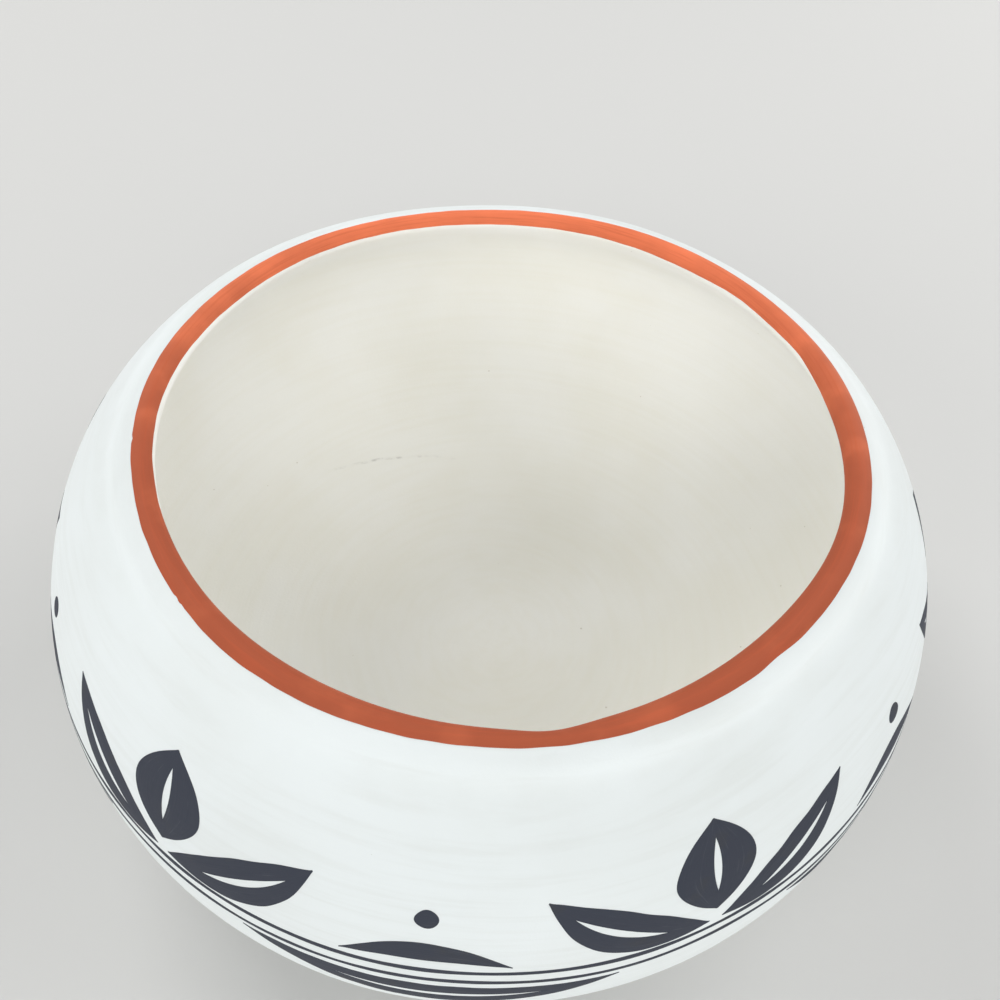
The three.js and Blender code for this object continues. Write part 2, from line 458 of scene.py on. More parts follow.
class Bench:
    """The mesh tools that every piece is made with."""

    @staticmethod
    def clear() -> None:
        """Deselects every object, so that an operator acts on the new one alone."""
        bpy.ops.object.select_all(action="DESELECT")

    @classmethod
    def pick(cls, *pieces: bpy.types.Object) -> None:
        """Selects pieces alone, with the first one active.

        Args:
            pieces: The pieces.
        """
        cls.clear()
        for piece in pieces:
            piece.select_set(True)
        bpy.context.view_layer.objects.active = pieces[0]

    @staticmethod
    def coordinates(piece: bpy.types.Object) -> np.ndarray:
        """The places of a piece's vertices, in the piece's own units.

        Args:
            piece: The piece.

        Returns:
            One place for each vertex.
        """
        places = np.empty(len(piece.data.vertices) * 3)
        piece.data.vertices.foreach_get("co", places)
        return places.reshape(-1, 3)

    @staticmethod
    def move_to(piece: bpy.types.Object, places: np.ndarray) -> None:
        """Moves a piece's vertices to places in millimetres."""
        piece.data.vertices.foreach_set("co", (places * MM).ravel())
        piece.data.update()

    @classmethod
    def turned(cls, name: str, section: np.ndarray, steps: int) -> bpy.types.Object:
        """Draws a section by extruding one point along it, and spins it round the axis.

        Args:
            name: The piece's name.
            section: Points of radius and height, from one end on the axis to the other.
            steps: How many pieces one turn has.

        Returns:
            The closed piece, in millimetres as metres.
        """
        cls.clear()
        bpy.ops.mesh.primitive_plane_add(size=1, location=(0, 0, 0))
        piece = bpy.context.object
        piece.name = name
        bpy.ops.object.mode_set(mode="EDIT")
        bpy.ops.mesh.merge(type="CENTER")
        bpy.ops.transform.translate(value=(section[0][0], 0, section[0][1]))
        for across, up in np.diff(section, axis=0):
            bpy.ops.mesh.extrude_region_move(TRANSFORM_OT_translate={"value": (across, 0, up)})
        bpy.ops.mesh.select_all(action="SELECT")
        bpy.ops.mesh.spin(steps=steps, angle=FULL_TURN, center=(0, 0, 0), axis=(0, 0, 1))
        bpy.ops.mesh.select_all(action="SELECT")
        bpy.ops.mesh.remove_doubles(threshold=POLE_GAP)
        bpy.ops.mesh.normals_make_consistent(inside=False)
        bpy.ops.object.mode_set(mode="OBJECT")
        return piece

    @classmethod
    def laid(cls, name: str, grid: tuple[int, int], place: Placing, size: Span) -> bpy.types.Object:
        """Lays a grid on the bowl, with a map of the brush's way over it.

        Args:
            name: The piece's name.
            grid: How many faces lie along it and across it.
            place: Gives the places, in millimetres, for shares along and across.
            size: Its length and width as the brush went, in millimetres, for the map.

        Returns:
            The open sheet, in metres.
        """
        cls.clear()
        columns, rows = grid
        bpy.ops.mesh.primitive_grid_add(
            x_subdivisions=columns, y_subdivisions=rows, size=1, location=(0, 0, 0),
        )
        piece = bpy.context.object
        piece.name = name
        shares = cls.coordinates(piece)[:, :2] + 0.5
        cls.move_to(piece, place(shares[:, 0], shares[:, 1]))
        corners = np.empty(len(piece.data.loops), dtype=np.int32)
        piece.data.loops.foreach_get("vertex_index", corners)
        piece.data.uv_layers.active.data.foreach_set("uv", (shares * size)[corners].ravel())
        return piece

    @classmethod
    def joined(cls, sheets: Sequence[bpy.types.Object]) -> bpy.types.Object:
        """Joins sheets into the first one, and leaves a single one as it is.

        Args:
            sheets: The sheets.

        Returns:
            The first sheet.
        """
        if len(sheets) > 1:
            cls.pick(*sheets)
            bpy.ops.object.join()
        return sheets[0]

    @classmethod
    def coat(cls, sheet: bpy.types.Object, thickness: float) -> bpy.types.Object:
        """Closes a sheet's seams, gives it a thickness inwards from where it lies, and shades it smooth.

        Args:
            sheet: The sheet.
            thickness: Its thickness in millimetres.

        Returns:
            The closed coat.
        """
        cls.pick(sheet)
        bpy.ops.object.mode_set(mode="EDIT")
        bpy.ops.mesh.select_all(action="SELECT")
        bpy.ops.mesh.remove_doubles(threshold=SEAM_GAP * MM)
        bpy.ops.object.mode_set(mode="OBJECT")
        bpy.ops.object.modifier_add(type="SOLIDIFY")
        solidify = sheet.modifiers[-1]
        solidify.thickness = thickness * MM
        solidify.offset = -1
        bpy.ops.object.modifier_apply(modifier=solidify.name)
        cls.smooth(sheet)
        return sheet

    @classmethod
    def smooth(cls, piece: bpy.types.Object, corner: float = 40.0) -> None:
        """Shades a piece smooth, but for edges sharper than a corner in degrees."""
        cls.pick(piece)
        bpy.ops.object.shade_smooth_by_angle(angle=math.radians(corner))


def operator(operation: str, swapped: bool = False) -> Callable[["Value", "Number"], "Value"]:
    """Makes one of Python's operators, which adds a Math node.

    Args:
        operation: The node's operation.
        swapped: Whether the other number comes first, as in a reflected operator.

    Returns:
        The operator's method.
    """
    def method(value: "Value", other: "Number") -> "Value":
        """The value and the other number through the Math node."""
        pair = (other, value) if swapped else (value, other)
        return value.recipe.node("ShaderNodeMath", {"operation": operation}, dict(enumerate(pair)))

    return method


class Value:
    """A number that varies over a surface, with Python's own arithmetic."""

    def __init__(self, recipe: "Recipe", socket: bpy.types.NodeSocket) -> None:
        """Wraps a node's output."""
        self.recipe = recipe
        self.socket = socket

    __add__ = operator("ADD")
    __radd__ = operator("ADD", swapped=True)
    __sub__ = operator("SUBTRACT")
    __rsub__ = operator("SUBTRACT", swapped=True)
    __mul__ = operator("MULTIPLY")
    __rmul__ = operator("MULTIPLY", swapped=True)
    __truediv__ = operator("DIVIDE")
    __rtruediv__ = operator("DIVIDE", swapped=True)
    __pow__ = operator("POWER")

    def rise(self, start: float, end: float) -> "Value":
        """Rises smoothly from 0 where this is at start to 1 where it is at end.

        Args:
            start: The value that gives 0.
            end: The value that gives 1.

        Returns:
            The share.
        """
        settings = {"interpolation_type": "SMOOTHSTEP"}
        inputs = {"Value": self, "From Min": start, "From Max": end, "To Min": 0.0, "To Max": 1.0}
        return self.recipe.node("ShaderNodeMapRange", settings, inputs)

    def size(self) -> "Value":
        """This without its sign."""
        return self.recipe.node("ShaderNodeMath", {"operation": "ABSOLUTE"}, {0: self})


Number = Value | float
Shade = Value | Colour


@dataclass(frozen=True)
class Texture:
    """A cloudy texture of a finish.

    Attributes:
        size: The size of its patches, in the units of its place.
        detail: How many finer layers it has.
        rough: How strong those are.
        edges: The noise at which it starts to show in the colour, and at which it shows in full.
        share: How much of the colour it then takes.
        height: How high it stands in the relief, in millimetres.
        matt: How much it adds to the roughness.
    """

    size: float = 1.0
    detail: float = 3.0
    rough: float = 0.5
    edges: Span = (0.0, 1.0)
    share: float = 1.0
    height: float = 0.0
    matt: float = 0.0

    def shown(self, noise: Value) -> Value:
        """How far its own noise shows in the colour."""
        return noise.rise(*self.edges) * self.share


@dataclass(frozen=True)
class Strokes(Texture):
    """A texture that is drawn out along strokes.

    Attributes:
        length: How far it runs along a stroke before it changes, in millimetres.
        width: How far it runs across the strokes.
        radius: The radius on the bowl at which the length is true, for strokes that go round it.
        lean: How far it also runs out along level clay, as a share of its run up a wall.
    """

    length: float = 1.0
    width: float = 1.0
    radius: float = 1.0
    lean: float = 0.7


@dataclass(frozen=True)
class Specks:
    """Round specks, each in a cell of its own.

    Attributes:
        spacing: The cells' size in millimetres.
        size: The radius of the largest speck.
        share: How much of the colour a speck takes.
        height: How high it stands in the relief, or how deep below 0.
        bare: The share of the cells that have none.
        blur: How much of a speck's radius its edge takes.
    """

    spacing: float
    size: float
    share: float
    height: float
    bare: float = 0.55
    blur: float = 0.25


class Recipe:
    """The nodes of one finish, or of the sky."""

    def __init__(self, holder: bpy.types.Material | bpy.types.World) -> None:
        """Starts a material or a world with no nodes.

        Args:
            holder: The material or world.
        """
        self.holder = holder
        holder.use_nodes = True
        holder.node_tree.nodes.clear()

    @classmethod
    def named(cls, name: str) -> "Recipe":
        """Starts a new material."""
        return cls(bpy.data.materials.new(name))

    def node(
        self, kind: str, settings: dict[str, str | bool], inputs: dict[str | int, Number | Colour],
        output: str | int = 0,
    ) -> Value:
        """Adds a node, sets it, and then fills its sockets.

        Args:
            kind: The node's type.
            settings: Its properties by name.
            inputs: A value, a colour or another node's output for each socket, by name or number.
            output: The output that the returned value stands for.

        Returns:
            That output.
        """
        made = self.holder.node_tree.nodes.new(kind)
        for name, setting in settings.items():
            setattr(made, name, setting)
        for name, given in inputs.items():
            if isinstance(given, Value):
                self.holder.node_tree.links.new(given.socket, made.inputs[name])
            else:
                made.inputs[name].default_value = given
        return Value(self, made.outputs[output])

    def here(self) -> Value:
        """The place on the object, in millimetres."""
        place = self.node("ShaderNodeTexCoord", {}, {}, "Object")
        return self.node("ShaderNodeVectorMath", {"operation": "SCALE"}, {0: place, "Scale": 1 / MM})

    def parts(self, vector: Value) -> tuple[Value, Value, Value]:
        """The three numbers of a vector."""
        split = self.node("ShaderNodeSeparateXYZ", {}, {0: vector}).socket.node
        return tuple(Value(self, output) for output in split.outputs)

    def distance_out(self) -> Value:
        """The distance from the bowl's axis, in millimetres."""
        x, y, _ = self.parts(self.here())
        return (x * x + y * y) ** 0.5

    def noise(self, place: Value, texture: Texture) -> Value:
        """Cloudy noise about 0.5, with a texture's patches.

        Args:
            place: The place in the noise.
            texture: The size and fineness of its patches.

        Returns:
            The noise, from 0 to 1.
        """
        inputs = {
            "Vector": place, "Scale": 1 / texture.size,
            "Detail": texture.detail, "Roughness": texture.rough,
        }
        return self.node("ShaderNodeTexNoise", {"noise_dimensions": "3D"}, inputs)

    def along_brush(self, strokes: Strokes) -> Value:
        """The noise of strokes that run along a painted shape, by its map.

        Args:
            strokes: The strokes.

        Returns:
            The noise, from 0 to 1.
        """
        way = self.node("ShaderNodeTexCoord", {}, {}, "UV")
        scale = (1 / strokes.length, 1 / strokes.width, 1.0)
        place = self.node("ShaderNodeVectorMath", {"operation": "MULTIPLY"}, {0: way, 1: scale})
        return self.noise(place, strokes)

    def around(self, strokes: Strokes) -> Value:
        """The noise of strokes that run round the bowl.

        Args:
            strokes: The strokes.

        Returns:
            The noise, from 0 to 1.
        """
        x, y, z = self.parts(self.here())
        out = self.distance_out()
        turns = strokes.radius / strokes.length
        sides = (x / out * turns, y / out * turns, z / strokes.width + out / strokes.width * strokes.lean)
        return self.noise(self.node("ShaderNodeCombineXYZ", {}, dict(enumerate(sides))), strokes)

    def specks(self, specks: Specks) -> Value:
        """1 in the middle of a speck and 0 outside it.

        Args:
            specks: How large and how dense the specks are.

        Returns:
            The share of a speck.
        """
        inputs = {"Vector": self.here(), "Scale": 1 / specks.spacing, "Randomness": 1.0}
        distance = self.node("ShaderNodeTexVoronoi", {"feature": "F1"}, inputs, "Distance")
        chance = Value(self, distance.socket.node.outputs["Color"])
        edge = self.parts(chance)[0].rise(specks.bare, 1.0) * (specks.size / specks.spacing)
        return (edge - distance).rise(0.0, specks.blur * specks.size / specks.spacing)

    def blend(self, first: Shade, second: Shade, share: Number) -> Value:
        """The first colour where the share is 0, and the second where it is 1."""
        settings = {"data_type": "RGBA", "clamp_factor": True}
        return self.node("ShaderNodeMix", settings, {0: share, 6: first, 7: second}, 2)

    def seen(self) -> Value:
        """1 for what the camera sees, itself or in a gloss, and 0 for the light that is gathered.

        Returns:
            That share.
        """
        camera = self.node("ShaderNodeLightPath", {}, {}, "Is Camera Ray")
        outputs = camera.socket.node.outputs
        return camera + Value(self, outputs["Is Glossy Ray"]) + Value(self, outputs["Is Transmission Ray"])

    def glow(self, kind: str, colour: Colour, strength: float) -> Value:
        """A plain light, from an Emission or a Background node."""
        return self.node(kind, {}, {"Color": colour, "Strength": strength})

    def mixed(self, first: Value, second: Value, share: Value) -> Value:
        """The first shader where the share is 0, and the second where it is 1."""
        return self.node("ShaderNodeMixShader", {}, {0: share, 1: first, 2: second})

    def surface(self, colour: Shade, roughness: Number, relief: Value, sockets: dict[str, float]) -> Value:
        """The shader of a finish.

        Args:
            colour: The colour all over.
            roughness: The roughness all over.
            relief: How high the surface stands, in millimetres.
            sockets: The shader's uniform values by name.

        Returns:
            The shader.
        """
        normal = self.node("ShaderNodeBump", {}, {"Strength": 1.0, "Distance": MM, "Height": relief})
        inputs = {"Base Color": colour, "Roughness": roughness, "Normal": normal, **sockets}
        return self.node("ShaderNodeBsdfPrincipled", {}, inputs)

    def sent(self, shader: Value, kind: str = "ShaderNodeOutputMaterial") -> None:
        """Sends a shader to the output."""
        output = self.holder.node_tree.nodes.new(kind)
        self.holder.node_tree.links.new(shader.socket, output.inputs["Surface"])

    def finished(
        self, colour: Shade, roughness: Number, relief: Value, sockets: dict[str, float],
    ) -> bpy.types.Material:
        """Makes the material of a finish, from what its surface takes."""
        self.sent(self.surface(colour, roughness, relief, sockets))
        return self.holder


# What each kind of surface sets on the shader all over.
RUBBED = {"Specular IOR Level": 0.25, "Diffuse Roughness": 0.5}
BRUSHED = {"Specular IOR Level": 0.2, "Diffuse Roughness": 0.5}
PAINTED = {"Specular IOR Level": 0.2}


@dataclass(frozen=True)
class Scuff:
    """A dark hairline scuff, broken up along its way, where a tool slid on the floor.

    Attributes:
        colour: Its colour.
        radius: How far from the axis its middle lies.
        slant: How much farther out each millimetre along it lies.
        width: Half its width, where it has faded away.
        core: The share of that width that is as dark as the middle.
        share: How much of the colour it takes.
        turns: The turns at which it ends.
        fades: The share of the way to an end at which it starts to fade.
        waver: How it strays from its line, by its height.
        breaks: Where it is broken.
    """

    colour: Colour = srgb(112, 110, 106)
    radius: float = 61.1
    slant: float = 0.245
    width: float = 0.5
    core: float = 0.2
    share: float = 0.3
    turns: Span = (-168.0, -127.0)
    fades: float = 0.1
    waver: Texture = Texture(9.0, 2.0, height=1.6)
    breaks: Texture = Texture(2.2, edges=(0.45, 0.68), share=0.9)

    def shown(self, recipe: Recipe, here: Value) -> Value:
        """How far it shows at each place.

        Args:
            recipe: The nodes of the clay's finish.
            here: The place on the bowl, in millimetres.

        Returns:
            The share of its colour.
        """
        x, y, _ = recipe.parts(here)
        start, end = (math.radians(turn) for turn in self.turns)
        middle, half = (start + end) / 2, (end - start) / 2
        across = x * math.cos(middle) + y * math.sin(middle)
        inward = x * math.sin(middle) - y * math.cos(middle)
        reach = self.radius * math.sin(half)
        waver = recipe.noise(here, self.waver) * self.waver.height - self.waver.height / 2
        slid_out = across * self.slant + self.radius
        off_line = (recipe.distance_out() + waver - slid_out).size()
        line = 1 - off_line.rise(self.width * self.core, self.width)
        ends = 1 - across.size().rise(reach * self.fades, reach)
        broken = self.breaks.shown(recipe.noise(here, self.breaks)) + (1 - self.breaks.share)
        return line * ends * broken * inward.rise(0.0, 1.0) * self.share


@dataclass(frozen=True)
class FiredClay:
    """Pale earthenware, scraped smooth inside and left bare underneath."""

    colour: Colour = srgb(249, 249, 246)
    deep: Colour = srgb(245, 244, 237)
    buff: Colour = srgb(196, 178, 148)
    fleck: Colour = srgb(168, 158, 138)
    roughness: float = 0.78
    clouds: Texture = Texture(34.0, edges=(0.35, 0.65), share=0.6)
    grain: Texture = Texture(0.55, 4.0, 0.65, height=0.035, matt=0.2)
    scrapes: Strokes = Strokes(
        detail=4.0, edges=(0.4, 0.7), share=0.25, height=0.05, length=24.0, width=1.3, radius=60.0,
    )
    flecks: Specks = Specks(spacing=5.5, size=0.3, share=0.35, height=-0.04)
    bare_heights: Span = (0.2, 3.0)
    bare_share: float = 0.5
    bare_clouds: float = 0.4
    scuff: Scuff = Scuff()

    def material(self) -> bpy.types.Material:
        """Makes the material.

        Returns:
            The material.
        """
        recipe = Recipe.named("fired_clay")
        here = recipe.here()
        height = recipe.parts(here)[2]
        clouds = recipe.noise(here, self.clouds).rise(*self.clouds.edges)
        grain = recipe.noise(here, self.grain)
        scrapes = recipe.around(self.scrapes)
        flecks = recipe.specks(self.flecks)
        deepened = clouds * self.clouds.share + self.scrapes.shown(scrapes)
        underneath = (1 - height.rise(*self.bare_heights)) * (self.bare_share + clouds * self.bare_clouds)
        bare = recipe.blend(recipe.blend(self.colour, self.deep, deepened), self.buff, underneath)
        marked = recipe.blend(bare, self.fleck, flecks * self.flecks.share)
        colour = recipe.blend(marked, self.scuff.colour, self.scuff.shown(recipe, here))
        relief = grain * self.grain.height + scrapes * self.scrapes.height + flecks * self.flecks.height
        return recipe.finished(colour, self.roughness + grain * self.grain.matt, relief, RUBBED)


@dataclass(frozen=True)
class WhiteSlip:
    """White slip, brushed on in bands and rubbed with a stone."""

    colour: Colour = srgb(228, 233, 233)
    thin: Colour = srgb(219, 223, 221)
    speck: Colour = srgb(158, 150, 138)
    roughness: float = 0.52
    clouds: Texture = Texture(30.0, edges=(0.35, 0.68), share=0.35)
    grain: Texture = Texture(0.4, 4.0, 0.6, height=0.02)
    strokes: Strokes = Strokes(
        detail=5.0, rough=0.6, edges=(0.42, 0.72), share=0.4, height=0.045, matt=0.25,
        length=30.0, width=0.9, radius=89.0,
    )
    specks: Specks = Specks(spacing=7.0, size=0.26, share=0.8, height=-0.05)

    def material(self) -> bpy.types.Material:
        """Makes the material.

        Returns:
            The material.
        """
        recipe = Recipe.named("white_slip")
        here = recipe.here()
        grain = recipe.noise(here, self.grain)
        strokes = recipe.around(self.strokes)
        specks = recipe.specks(self.specks)
        thinned = self.clouds.shown(recipe.noise(here, self.clouds)) + self.strokes.shown(strokes)
        brushed = recipe.blend(self.colour, self.thin, thinned)
        colour = recipe.blend(brushed, self.speck, specks * self.specks.share)
        relief = grain * self.grain.height + strokes * self.strokes.height + specks * self.specks.height
        return recipe.finished(colour, self.roughness + strokes * self.strokes.matt, relief, RUBBED)


@dataclass(frozen=True)
class RedSlip:
    """Red-orange slip, brushed over the lip in one band, with painted shade in front and a painted
    highlight towards the back.
    """

    colour: Colour = srgb(192, 92, 60)
    # Painted shade: the band's colour darkens to this towards the front.
    painted_front_shade: Colour = srgb(171, 86, 57)
    # Painted highlight: the band turns to this colour towards the back; it also shows in random patches.
    thin: Colour = srgb(238, 130, 88)
    roughness: float = 0.58
    # Where the painted highlight towards the back starts and where it is full, by how far back the place
    # lies.
    back_highlight_span: Span = (-0.5, 1.2)
    clouds: Texture = Texture(11.0, edges=(0.5, 0.72), share=0.15)
    grain: Texture = Texture(0.3, height=0.012, matt=0.1)
    strokes: Strokes = Strokes(
        detail=4.0, rough=0.6, edges=(0.45, 0.7), share=0.35, height=0.02, matt=0.15,
        length=16.0, width=0.5, radius=66.0,
    )

    def material(self) -> bpy.types.Material:
        """Makes the material.

        Returns:
            The material.
        """
        recipe = Recipe.named("red_slip")
        here = recipe.here()
        strokes = recipe.around(self.strokes)
        clouds = recipe.noise(here, self.clouds)
        grain = recipe.noise(here, self.grain)
        # Painted shade in front and a painted highlight at the back, by where the band lies round the bowl,
        # broken up by clouds.
        backwards = recipe.parts(here)[1] / recipe.distance_out()
        front_shade_back_highlight = recipe.blend(self.painted_front_shade, self.thin, (backwards + clouds - 0.5).rise(*self.back_highlight_span))
        body = recipe.blend(front_shade_back_highlight, self.colour, self.strokes.shown(strokes))
        colour = recipe.blend(body, self.thin, self.clouds.shown(clouds))
        relief = grain * self.grain.height + strokes * self.strokes.height
        roughness = self.roughness + strokes * self.strokes.matt + grain * self.grain.matt
        return recipe.finished(colour, roughness, relief, BRUSHED)


@dataclass(frozen=True)
class CharcoalPaint:
    """Charcoal paint, thinner where the brush ran dry."""

    colour: Colour = srgb(53, 57, 68)
    thin: Colour = srgb(80, 84, 92)
    edge: Colour = srgb(62, 61, 58)
    roughness: float = 0.5
    dry_clouds: Span = (0.42, 0.6)
    clouds: Texture = Texture(6.0, edges=(0.55, 0.75), share=0.35)
    grain: Texture = Texture(0.25, height=0.012)
    strokes: Strokes = Strokes(
        detail=4.0, rough=0.6, edges=(0.52, 0.74), share=0.8, height=0.03, matt=0.25,
        length=14.0, width=0.5,
    )

    def material(self) -> bpy.types.Material:
        """Makes the material.

        Returns:
            The material.
        """
        recipe = Recipe.named("charcoal_paint")
        here = recipe.here()
        strokes = recipe.along_brush(self.strokes)
        clouds = recipe.noise(here, self.clouds)
        grain = recipe.noise(here, self.grain)
        dry = strokes.rise(*self.strokes.edges) * clouds.rise(*self.dry_clouds)
        body = recipe.blend(self.colour, self.thin, dry * self.strokes.share)
        colour = recipe.blend(body, self.edge, self.clouds.shown(clouds))
        relief = grain * self.grain.height + strokes * self.strokes.height
        return recipe.finished(colour, self.roughness + strokes * self.strokes.matt, relief, PAINTED)


@dataclass(frozen=True)
class Coats:
    """How far each coat reaches off the clay, and the coats' edges."""

    slip: float = 0.06
    red: float = 0.12
    paint: float = 0.1
    slip_start: float = 2.5
    slip_ragged: Tremor = Tremor(0.35, 22.0)
    band_low_angle: float = 48.0
    band_high_angle: float = 179.0


def dress(
    piece: bpy.types.Object, material: bpy.types.Material, nodes: Sequence[str],
) -> None:
    """Gives a finished piece its material and its place in the frame.

    Args:
        piece: The piece.
        material: Its finish.
        nodes: The solids that it stands for.
    """
    piece.data.materials.clear()
    piece.data.materials.append(material)
    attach(piece, BODY)
    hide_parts(*nodes)
    log.info("%s: %d faces", piece.name, len(piece.data.polygons))


@dataclass(frozen=True)
class ClayBody:
    """The fired vessel itself."""

    vessel: Vessel
    material: bpy.types.Material
    steps: int = 192

    def build(self) -> None:
        """Turns the section and leaves it uneven, as a hand does."""
        underside = self.vessel.underside().points
        walls = (self.vessel.outside(), self.vessel.inside())
        section = np.concatenate([underside, *(wall.points[1:] for wall in walls)])
        piece = Bench.turned("fired_clay_body", section, self.steps)
        Bench.move_to(piece, self.vessel.by_hand(Bench.coordinates(piece)))
        Bench.smooth(piece)
        dress(piece, self.material, ["clay_body"])


@dataclass(frozen=True)
class Skin:
    """Lays coats on the outside of the vessel."""

    vessel: Vessel

    def place(self, distance: np.ndarray, turn: np.ndarray, lift: float) -> np.ndarray:
        """Places on the bowl as built.

        Args:
            distance: How far along the outside, from the foot's edge.
            turn: The turn from the front.
            lift: How far off the clay.

        Returns:
            The places in millimetres.
        """
        radius, height = self.vessel.outside().at(distance, lift)
        true = np.column_stack([radius * np.sin(turn), -radius * np.cos(turn), height])
        return self.vessel.by_hand(true)

    def ring(
        self, name: str, grid: tuple[int, int], edges: Edges, lift: float, thickness: float,
    ) -> bpy.types.Object:
        """A coat that goes right round, with its seam at the back.

        Args:
            name: The piece's name.
            grid: How many faces go round and lie across it.
            edges: Gives the distances of its lower and upper edge at each turn.
            lift: How far its outside is off the clay.
            thickness: Its thickness.

        Returns:
            The closed piece.
        """
        def place(along: np.ndarray, across: np.ndarray) -> np.ndarray:
            """Places on the ring.

            Args:
                along: Shares of the way along the sheet.
                across: Shares of the way across it.

            Returns:
                The places in millimetres.
            """
            turn = (along - 0.5) * FULL_TURN
            low, high = edges(turn)
            return self.place(low + (high - low) * across, turn, lift)

        low, high = edges(np.zeros(1))
        size = (FULL_TURN * self.vessel.belly_radius, float(high[0] - low[0]))
        return Bench.coat(Bench.laid(name, grid, place, size), thickness)

    def lip_distance(self, angle: float) -> float:
        """How far along the outside a place on the lip lies, by its angle from outwards towards up.

        Args:
            angle: The angle on the lip's section, in degrees.

        Returns:
            The distance in millimetres.
        """
        lip_length = math.radians(self.vessel.under_lip - self.vessel.neck_angle) * self.vessel.lip_section
        lip_start = self.vessel.outside().distances()[-1] - lip_length
        return float(lip_start + math.radians(angle - self.vessel.neck_angle) * self.vessel.lip_section)


@dataclass(frozen=True)
class Coat:
    """What each coat has: the vessel's skin, how far all coats reach, and its finish."""

    skin: Skin
    coats: Coats
    material: bpy.types.Material


@dataclass(frozen=True)
class SlipCoat(Coat):
    """The white ground, from just above the foot to under the red band."""

    grid: tuple[int, int] = (200, 180)
    under_band: float = 3.0
    depth: float = 0.9
    seed: int = 3

    def build(self) -> None:
        """Lays the coat, with a ragged edge above the foot."""
        foot_radius = self.skin.vessel.foot_radius
        start = self.skin.vessel.outside().distance_at(self.coats.slip_start)
        end = self.skin.lip_distance(self.coats.band_low_angle) + self.under_band

        def edges(turn: np.ndarray) -> tuple[np.ndarray, np.ndarray]:
            """The ragged lower edge and the upper one under the band."""
            ragged = self.coats.slip_ragged.at(turn * foot_radius, self.seed, FULL_TURN * foot_radius)
            return start + ragged, np.full_like(turn, end)

        thickness = self.coats.slip * self.depth
        piece = self.skin.ring("white_slip_skin", self.grid, edges, self.coats.slip, thickness)
        dress(piece, self.material, ["white_slip_coat"])


@dataclass(frozen=True)
class LipBand(Coat):
    """The red band, whose edges wander and tremble as a brushed edge does."""

    grid: tuple[int, int] = (900, 22)
    clearance: float = 0.01
    low_seed: int = 11
    high_seed: int = 12
    low_offset: float = 0.38
    high_offset: float = 0.25
    tremor: Tremor = Tremor(0.04, 9.0)
    low_swells: tuple[Swell, ...] = (
        Swell(1, 1.09, -134), Swell(2, 0.68, 10), Swell(3, 0.29, 54), Swell(4, 0.20, -7), Swell(5, 0.38, 7),
    )
    high_swells: tuple[Swell, ...] = (
        Swell(1, 0.80, 53), Swell(2, 0.56, 2), Swell(3, 0.46, -2), Swell(4, 0.20, 9), Swell(5, 0.22, 20),
    )
    low_nicks: tuple[Nick, ...] = (
        Nick(-47, 0.5, 0.2), Nick(-45.5, 0.4, 0.12), Nick(41, 3, 0.35), Nick(-78, 0.6, 0.2),
    )
    high_nicks: tuple[Nick, ...] = (Nick(110, 11, 1.2), Nick(128, 11, 0.8), Nick(-50, 0.5, 0.3))

    def build(self) -> None:
        """Lays the band over the lip."""
        radius = self.skin.vessel.lip_radius
        girth = FULL_TURN * radius
        low_mean = self.skin.lip_distance(self.coats.band_low_angle) + self.low_offset
        high_mean = self.skin.lip_distance(self.coats.band_high_angle) + self.high_offset

        def edges(turn: np.ndarray) -> tuple[np.ndarray, np.ndarray]:
            """The edge outside the lip and the one inside it.

            Args:
                turn: Turns round the bowl.

            Returns:
                Their distances along the outside.
            """
            run = turn * radius
            low = low_mean + swelling(self.low_swells, turn) + self.tremor.at(run, self.low_seed, girth)
            high = high_mean + swelling(self.high_swells, turn) + self.tremor.at(run, self.high_seed, girth)
            low = low + sum(nick.at(turn, radius) for nick in self.low_nicks)
            high = high - sum(nick.at(turn, radius) for nick in self.high_nicks)
            return low, high

        thickness = self.coats.red - self.coats.slip - self.clearance
        piece = self.skin.ring("red_slip_band", self.grid, edges, self.coats.red, thickness)
        dress(piece, self.material, ["red_lip_band"])


@dataclass(frozen=True)
class FramingLines(Coat):
    """The two thin lines above the belly, each drawn in one stroke that meets itself at the back."""

    grid: tuple[int, int] = (720, 3)
    line_width: float = 1.1
    upper_rise: float = 7.8
    spacing: float = 3.35
    wander: Tremor = Tremor(0.13, 60.0)
    wander_seed: int = 20
    press: Tremor = Tremor(0.09, 24.0)
    press_seed: int = 30

    def height(self, index: int) -> float:
        """The height of the upper line, 0, or of the lower one, 1."""
        return self.skin.vessel.belly_height + self.upper_rise - index * self.spacing

    def build(self) -> None:
        """Draws both lines."""
        for index, name in enumerate(("upper", "lower")):
            self._line(name, index)

    def _line(self, name: str, index: int) -> None:
        """Draws one line.

        Args:
            name: Which line it is.
            index: 0 for the upper line and 1 for the lower.
        """
        radius = self.skin.vessel.belly_radius
        girth = FULL_TURN * radius
        middle = self.skin.vessel.outside().distance_at(self.height(index))

        def edges(turn: np.ndarray) -> tuple[np.ndarray, np.ndarray]:
            """The line's two edges.

            Args:
                turn: Turns round the bowl.

            Returns:
                Their distances along the outside.
            """
            run = turn * radius
            centre = middle + self.wander.at(run, self.wander_seed + index, girth)
            half = self.line_width / 2 + self.press.at(run, self.press_seed + index, girth)
            return centre - half, centre + half

        thickness = self.coats.paint - self.coats.slip
        piece = self.skin.ring(f"brushed_{name}_line", self.grid, edges, self.coats.paint, thickness)
        dress(piece, self.material, [f"{name}_framing_line"])


